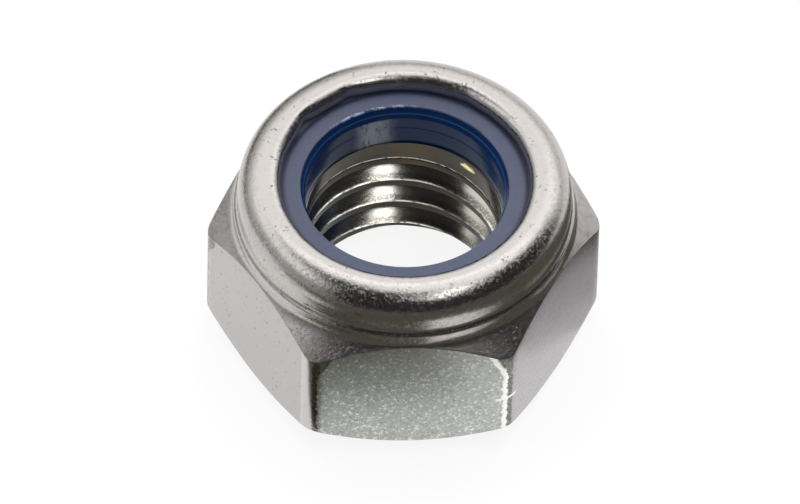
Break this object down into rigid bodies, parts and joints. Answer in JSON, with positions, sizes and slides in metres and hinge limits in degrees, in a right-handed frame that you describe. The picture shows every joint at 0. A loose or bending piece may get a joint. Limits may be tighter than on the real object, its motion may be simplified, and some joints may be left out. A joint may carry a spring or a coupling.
{
  "type": "nylon insert lock nut",
  "caption": "Hexagon lock nut with chamfered corners and a rolled collar that holds a plastic locking ring above the thread.",
  "frame": {"origin": "centre of the bearing face, on the thread axis", "axes": "+Z along the thread axis towards the collar; two corners of the hexagon lie on +X and -X, and two wrench flats face -Y and +Y"},
  "size_m": [0.0204, 0.018, 0.0116],
  "materials": {
    "stainless_steel": "tumbled stainless steel, satin, with fine peening marks on the flats and turned marks on the collar",
    "blue_nylon": "blue nylon, matte on the flat rim and glossier in the bore"
  },
  "bodies": {
    "root": {"nut_body": "stainless_steel", "nylon_insert": "blue_nylon"}
  },
  "joints": []
}
